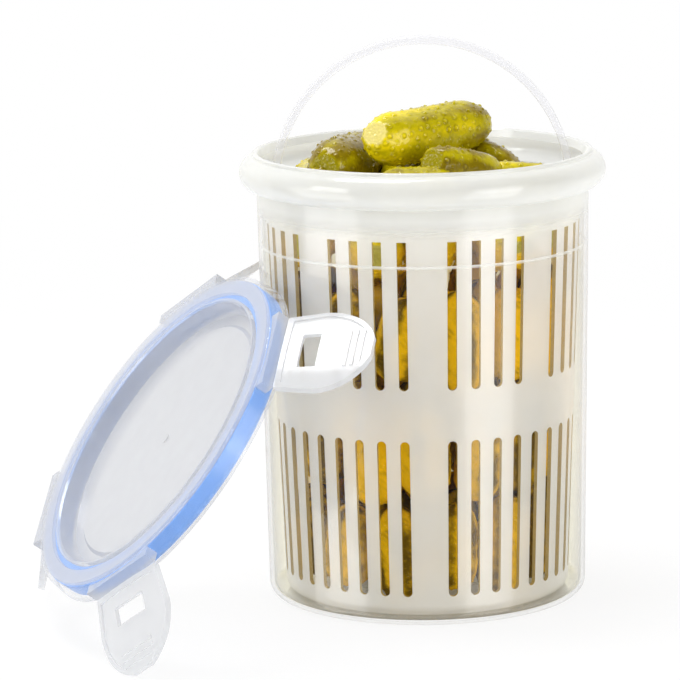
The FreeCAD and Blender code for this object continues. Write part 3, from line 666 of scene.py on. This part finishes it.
class PICKLEJAR_OT_basket(PickleJarOperator):
    """Gives the lifter basket its milky plastic"""
    bl_idname = "pickle_jar.basket"
    bl_label = "Lifter basket"

    def execute(self, context):
        dress("lifter_basket", basket_plastic(context.scene.pickle_jar_plastics))
        return {"FINISHED"}


class PICKLEJAR_OT_bail(PickleJarOperator):
    """Gives the bail handle its milky plastic"""
    bl_idname = "pickle_jar.bail"
    bl_label = "Bail handle"

    def execute(self, context):
        looks = context.scene.pickle_jar_plastics
        plastic = see_through_plastic("milky bail plastic", tuple(looks.bail_colour), looks.bail_haze,
                                      0.45, looks.roughness)
        dress("lifter_handle", plastic)
        return {"FINISHED"}


class PICKLEJAR_OT_lid(PickleJarOperator):
    """Gives the lid its plastic, clearer beside the seal, and the clips theirs"""
    bl_idname = "pickle_jar.lid"
    bl_label = "Lid and clips"

    def execute(self, context):
        looks = context.scene.pickle_jar_plastics
        dress("lid", lid_plastic(looks))
        plastic = see_through_plastic("clip plastic", tuple(looks.clip_colour), looks.clip_haze,
                                      0.75, looks.roughness)
        for node in CLIPS:
            dress(node, plastic)
        return {"FINISHED"}


class PICKLEJAR_OT_seal(PickleJarOperator):
    """Gives the lid's soft ring its blue rubber"""
    bl_idname = "pickle_jar.seal"
    bl_label = "Seal"

    def execute(self, context):
        dress("lid_seal", soft_seal(context.scene.pickle_jar_plastics))
        return {"FINISHED"}


# for each gherkin of the pile: how pale its skin is, how much paler its left end is, how pale its scars are
PILE_LOOK = (
    (0.52, 0.32, 1.0), (-0.02, 0.14, 0.0), (0.10, -0.10, 0.0), (0.16, 0.22, 0.05), (0.60, 0.10, 0.0),
    (0.45, 0.15, 0.0), (0.55, -0.10, 0.0), (0.35, 0.20, 0.1), (0.40, 0.10, 0.2), (0.55, -0.20, 0.5),
    (0.50, 0.10, 0.3), (0.45, -0.10, 0.4), (0.60, 0.10, 0.2), (0.50, 0.20, 0.3),
)
PILE_SOFTEN = 6
PILE_LUMPS = (0.009, 0.0009)    # width and height of a lump
SEEDS_APART = 100


class PICKLEJAR_OT_pile(PickleJarOperator):
    """Makes the warty gherkins that stand out of the brine, each over its CAD solid"""
    bl_idname = "pickle_jar.pile"
    bl_label = "Gherkins above the brine"

    def execute(self, context):
        contents = context.scene.pickle_jar_contents
        skin = gherkin_skin("gherkin skin", tuple(contents.top_colour), tuple(contents.side_colour),
                            tuple(contents.pale_colour), tuple(contents.cut_colour),
                            tuple(contents.sunk_colour))
        for number, node in enumerate(PILE):
            dice = random.Random(contents.seed * SEEDS_APART + number)
            piece = merged_copy(node, "warty_" + node)
            ends = flat_ends(piece.data)
            remesh(piece, contents.cell)
            soften(piece, PILE_SOFTEN)
            make_lumpy(piece, *PILE_LUMPS)
            raise_warts(piece, contents, ends, dice, *PILE_LOOK[number % len(PILE_LOOK)])
            shade_smooth(piece)
            piece.data.materials.append(skin)
            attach(piece, CONTENTS)
            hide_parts(node)
        return {"FINISHED"}


SUNK_LAYERS = ((0.0052, 0.0425), (0.0415, 0.0810), (0.0800, 0.1160))    # lowest and highest point
SUNK_RINGS = ((13, 1.0), (6, 0.50), (1, 0.0))   # how many gherkins, and how far out they stand
SUNK_TO_WALL = 0.0004
SUNK_LIFT = 0.0015              # how far a gherkin's middle is up or down
SUNK_LONGER = (-0.004, 0.0015)  # how much its half length differs
SUNK_THIN = 0.90                # the thinnest one's radius, over the full one's
SUNK_BOW = 0.0010
SUNK_LEAN = 13.0                # most lean to either side, in degrees
SUNK_BLUNT = 4.2                # a larger power gives blunter ends
SUNK_TAPER = 0.05
SUNK_LOBES = (5.0, 0.02)        # how many lobes a gherkin has and how high they are, over its radius
SUNK_TONES = (-0.1, 0.1, 0.3, 0.5, 0.75)
SUNK_LUMPS = (0.008, 0.0007)


def sunk_places(contents, layer, dice):
    """Where one layer's gherkins stand: along the basket's wall, in a second ring and in the middle."""
    low, high = SUNK_LAYERS[layer]
    inside = BASKET_INSIDE_FOOT + (low + high) / 2 * math.tan(BASKET_FLARE)
    places = []
    for count, share_out in SUNK_RINGS:
        ring = share_out * (inside - contents.sunk_radius - SUNK_TO_WALL)
        start = dice.uniform(0.0, math.tau)
        for number in range(count):
            angle = start + math.tau * number / count
            middle = Vector((ring * math.cos(angle), ring * math.sin(angle), (low + high) / 2))
            middle.z += dice.uniform(-SUNK_LIFT, SUNK_LIFT)
            places.append((middle, angle, (high - low) / 2 + dice.uniform(*SUNK_LONGER)))
    return places


def sunk_gherkin(contents, middle, angle, half, dice):
    """One blunt, bowed gherkin that leans along the basket's wall."""
    nothing_selected()
    bpy.ops.mesh.primitive_uv_sphere_add(segments=48, ring_count=44, radius=1.0,
                                         location=(0.0, 0.0, 0.0))
    piece = bpy.context.object
    radius = contents.sunk_radius * dice.uniform(SUNK_THIN, 1.0)
    bow = dice.uniform(-SUNK_BOW, SUNK_BOW)
    lobes, lobe_height = SUNK_LOBES
    for vertex in piece.data.vertices:
        x, y, z = vertex.co
        blunt = math.sqrt(max(0.0, 1.0 - abs(z) ** SUNK_BLUNT)) / math.sqrt(max(1e-12, 1.0 - z * z))
        lobed = 1.0 + lobe_height * math.cos(lobes * math.atan2(y, x))
        across = blunt * radius * lobed * (1.0 - SUNK_TAPER * z)
        vertex.co = Vector((x * across, y * across + bow * (1.0 - z * z), z * half))
    # it leans about the line from the basket's axis, so it keeps off the wall, and out as the wall flares
    aside = Matrix.Rotation(math.radians(dice.uniform(-SUNK_LEAN, SUNK_LEAN)), 4, "X")
    lean = aside @ Matrix.Rotation(BASKET_FLARE, 4, "Y")
    piece.data.transform(Matrix.Translation(middle) @ Matrix.Rotation(angle, 4, "Z") @ lean)
    make_lumpy(piece, *SUNK_LUMPS)
    raise_warts(piece, contents, [], dice, dice.choice(SUNK_TONES))
    return piece


class PICKLEJAR_OT_sunk(PickleJarOperator):
    """Stands three layers of gherkins in the brine, inside the basket"""
    bl_idname = "pickle_jar.sunk"
    bl_label = "Gherkins in the brine"

    def execute(self, context):
        contents = context.scene.pickle_jar_contents
        dice = random.Random(contents.seed)
        amber = tuple(contents.sunk_colour)
        skin = gherkin_skin("sunk gherkin skin", toned(amber, 0.16), amber, toned(amber, 1.3),
                            tuple(contents.cut_colour))
        for layer in range(len(SUNK_LAYERS)):
            places = sunk_places(contents, layer, dice)
            gherkins = [sunk_gherkin(contents, *place, dice) for place in places]
            pick(gherkins[0])
            for gherkin in gherkins:
                gherkin.select_set(True)
            bpy.ops.object.join()
            piece = context.object
            piece.name = "sunk_gherkins_%d" % (layer + 1)
            shade_smooth(piece)
            piece.data.materials.append(skin)
            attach(piece, CONTENTS)
        return {"FINISHED"}


BRINE_SIDES = 160
BRINE_TAPER = 0.0018            # how much narrower the brine is at its foot
BRINE_FOOT_ROUND = 0.0038
MENISCUS_STEPS = ((0.0006, 0.45), (0.0008, 0.35), (0.0012, 0.20))   # width, and share of the climb
TOP_FACE = 1e-5                 # how near the brine's top its top face lies


def select_faces(mesh, wanted):
    """In edit mode, selects the faces that pass a test."""
    shell = bmesh.from_edit_mesh(mesh)
    for face in shell.faces:
        face.select = wanted(face)
    bmesh.update_edit_mesh(mesh)


class PICKLEJAR_OT_brine(PickleJarOperator):
    """Fills the jar with brine that reaches just into its wall, with a meniscus round its top"""
    bl_idname = "pickle_jar.brine"
    bl_label = "Brine"

    def execute(self, context):
        contents = context.scene.pickle_jar_contents
        top_radius = (BRINE_HIGH.x - BRINE_LOW.x) / 2 + contents.brine_bite
        floor = BRINE_LOW.z - contents.brine_bite
        height = BRINE_HIGH.z - floor
        nothing_selected()
        bpy.ops.mesh.primitive_cylinder_add(vertices=BRINE_SIDES, radius=top_radius, depth=height,
                                            location=(0.0, 0.0, floor + height / 2))
        piece = context.object
        piece.name = "brine_fill"
        bpy.ops.object.transform_apply(location=True, rotation=True, scale=True)
        bpy.ops.object.mode_set(mode="EDIT")
        bpy.ops.mesh.select_mode(type="FACE")
        select_faces(piece.data, lambda face: face.normal.z < -0.5)
        shrink = (top_radius - BRINE_TAPER) / top_radius
        bpy.ops.transform.resize(value=(shrink, shrink, 1.0), center_override=(0.0, 0.0, floor))
        bpy.ops.mesh.bevel(offset=BRINE_FOOT_ROUND, segments=6, affect="EDGES")
        bpy.ops.mesh.select_all(action="DESELECT")
        top = BRINE_HIGH.z - TOP_FACE
        select_faces(piece.data, lambda face: face.normal.z > 0.5 and face.calc_center_median().z > top)
        for width, climb in MENISCUS_STEPS:
            bpy.ops.mesh.inset(thickness=width, depth=-contents.meniscus * climb)
        bpy.ops.object.mode_set(mode="OBJECT")
        pick(piece)
        bpy.ops.object.shade_smooth_by_angle(angle=math.radians(40))
        piece.data.materials.append(brine_look(contents))
        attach(piece, CONTENTS)
        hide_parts("brine")
        return {"FINISHED"}


# ---------- stage ----------
CAMERA_LENS = 217.6             # in millimetres, over a film 36 mm wide
CAMERA_FILM = 36.0
CAMERA_DOWN = 10.709            # degrees
CAMERA_ROLL = -0.956
CAMERA_PLACE = (-0.0300, -1.4364, 0.3630)
LAMPS = (                       # each lamp's name, setting, place and side
    ("left lamp", "lamp_left", (-1.10, -0.60, 0.55), 0.55),
    ("right lamp", "lamp_right", (0.90, -0.87, 0.35), 0.70),
    ("top lamp", "lamp_top", (-0.25, 0.15, 1.15), 0.45),
)
FLOOR_UNDER = 0.0001            # how far the floor lies under the jar
# mirrored room, in degrees to the right of the front: where each panel fades in and out
PANELS = ((-93.0, -88.0, -50.0, -44.0), (24.0, 30.0, 60.0, 67.0))
PANEL_HEIGHT = (-0.70, -0.55, 0.12, 0.30)   # and the same upwards, from straight down -1 to straight up 1
BACKDROP = (95.0, 125.0)        # where the white backdrop begins and is full, to either side
DIM_FRONT = 0.06                # how bright the room is in front of it


def camera():
    """A long lens, a little above the jar's mouth."""
    lens = bpy.data.cameras.new("camera")
    lens.sensor_width = CAMERA_FILM
    lens.lens = CAMERA_LENS
    lens.clip_start = 0.1
    lens.clip_end = 60.0
    eye = bpy.data.objects.new("camera", lens)
    bpy.context.scene.collection.objects.link(eye)
    down = math.radians(CAMERA_DOWN)
    roll = math.radians(CAMERA_ROLL)
    ahead = Vector((0.0, math.cos(down), -math.sin(down)))
    right = Vector((1.0, 0.0, 0.0))
    right = right * math.cos(roll) + right.cross(ahead) * math.sin(roll)
    place = Matrix((right, right.cross(ahead), -ahead)).transposed().to_4x4()
    place.translation = Vector(CAMERA_PLACE)
    eye.matrix_world = place
    bpy.context.scene.camera = eye


def soft_lamp(name, place, side, energy):
    """A square lamp that looks at the middle of the jar."""
    light = bpy.data.lights.new(name, "AREA")
    light.shape = "RECTANGLE"
    light.size = side
    light.size_y = side
    light.energy = energy
    lamp = bpy.data.objects.new(name, light)
    bpy.context.scene.collection.objects.link(lamp)
    lamp.location = place
    to_jar = Vector((0.0, 0.0, JAR_TOP / 2)) - lamp.location
    lamp.rotation_euler = to_jar.to_track_quat("-Z", "Y").to_euler()


def floor_look():
    """A pale floor that looks white, with the object's shadow on it."""
    nodes = new_material("pale floor")
    paper = nodes.blend(nodes.noise(3.0, 3.0), (0.86, 0.86, 0.86), (0.88, 0.88, 0.88))
    matt = nodes.add("BsdfDiffuse", {"Color": paper}).outputs[0]
    white = nodes.add("Emission", {"Color": WHITE, "Strength": 1.0}).outputs[0]
    path = nodes.add("LightPath").outputs
    mirrored = nodes.maths("MAXIMUM", path["Is Glossy Ray"], path["Is Transmission Ray"])
    seen = nodes.maths("MAXIMUM", path["Is Camera Ray"], mirrored)
    far = nodes.add("VectorMath", {0: nodes.place}, operation="LENGTH").outputs["Value"]
    amount = nodes.times(seen, nodes.band(far, 0.15, 0.9, 0.86, 1.0))
    return nodes.finish(nodes.shade(amount, matt, white))


def white_room(light, panel_light):
    """Even light from all round, white where the eye meets it.

    A reflection meets a white backdrop behind the jar, a dim room in front of it, and two tall bright panels,
    which stand on the floor and reach a little over the jar."""
    world = bpy.data.worlds.new("white room")
    bpy.context.scene.world = world
    nodes = Nodes(world)
    path = nodes.add("LightPath").outputs
    seen = nodes.maths("MAXIMUM", path["Is Camera Ray"], path["Is Transmission Ray"])
    way = nodes.add("SeparateXYZ", {0: nodes.add("TexCoord").outputs["Generated"]}).outputs
    front = nodes.times(way["Y"], -1.0)
    turn = nodes.times(nodes.maths("ARCTAN2", way["X"], front), 180.0 / math.pi)
    backdrop = nodes.band(nodes.maths("ABSOLUTE", turn), *BACKDROP, DIM_FRONT, 1.0)
    left, right = (nodes.window(turn, *panel) for panel in PANELS)
    tall = nodes.window(way["Z"], *PANEL_HEIGHT)
    panels = nodes.times(nodes.times(nodes.plus(left, right), tall), panel_light)
    mirrored, lit, white = (
        nodes.add("Background", {"Color": WHITE, "Strength": level}).outputs[0]
        for level in (nodes.plus(backdrop, panels), light, 1.0))
    room = nodes.shade(path["Is Glossy Ray"], lit, mirrored)
    nodes.add("OutputWorld", {"Surface": nodes.shade(seen, room, white)})


class PICKLEJAR_OT_stage(PickleJarOperator):
    """Sets the floor, the lamps, the room and the camera"""
    bl_idname = "pickle_jar.stage"
    bl_label = "Stage"

    def execute(self, context):
        stage = context.scene.pickle_jar_stage
        nothing_selected()
        bpy.ops.mesh.primitive_grid_add(x_subdivisions=8, y_subdivisions=8, size=stage.floor_size,
                                        location=(0.0, 0.0, -FLOOR_UNDER))
        floor = context.object
        floor.name = "floor"
        bpy.ops.object.transform_apply(location=True, rotation=True, scale=True)
        floor.data.materials.append(floor_look())
        floor.visible_glossy = False
        for name, setting, place, side in LAMPS:
            soft_lamp(name, place, side, getattr(stage, setting))
        white_room(stage.world_light, stage.panel_light)
        camera()
        context.scene.view_settings.view_transform = "Standard"
        context.scene.cycles.transparent_max_bounces = LAYERS_SEEN
        return {"FINISHED"}


STEPS = (
    PICKLEJAR_OT_jar, PICKLEJAR_OT_basket, PICKLEJAR_OT_bail, PICKLEJAR_OT_lid, PICKLEJAR_OT_seal,
    PICKLEJAR_OT_pile, PICKLEJAR_OT_sunk, PICKLEJAR_OT_brine, PICKLEJAR_OT_stage,
)
GROUPS = {
    "pickle_jar_plastics": PickleJarPlastics,
    "pickle_jar_contents": PickleJarContents,
    "pickle_jar_stage": PickleJarStage,
}


class PICKLEJAR_PT_panel(bpy.types.Panel):
    """Lists the steps, and the sizes and colours that they use"""
    bl_idname = "PICKLEJAR_PT_panel"
    bl_label = "Pickle jar with lifter"
    bl_space_type = "VIEW_3D"
    bl_region_type = "UI"
    bl_category = "Pickle jar"

    def draw(self, context):
        for step in STEPS:
            self.layout.operator(step.bl_idname)
        for group_name, group in GROUPS.items():
            for name in group.__annotations__:
                self.layout.prop(getattr(context.scene, group_name), name)


CLASSES = (*GROUPS.values(), *STEPS, PICKLEJAR_PT_panel)


def register():
    for cls in CLASSES:
        bpy.utils.register_class(cls)
    for name, group in GROUPS.items():
        setattr(bpy.types.Scene, name, PointerProperty(type=group))


def unregister():
    for name in GROUPS:
        delattr(bpy.types.Scene, name)
    for cls in reversed(CLASSES):
        bpy.utils.unregister_class(cls)


def main():
    register()
    bpy.ops.pickle_jar.jar()
    bpy.ops.pickle_jar.basket()
    bpy.ops.pickle_jar.bail()
    bpy.ops.pickle_jar.lid()
    bpy.ops.pickle_jar.seal()
    bpy.ops.pickle_jar.pile()
    bpy.ops.pickle_jar.sunk()
    bpy.ops.pickle_jar.brine()
    bpy.ops.pickle_jar.stage()


if __name__ == "__main__":
    main()
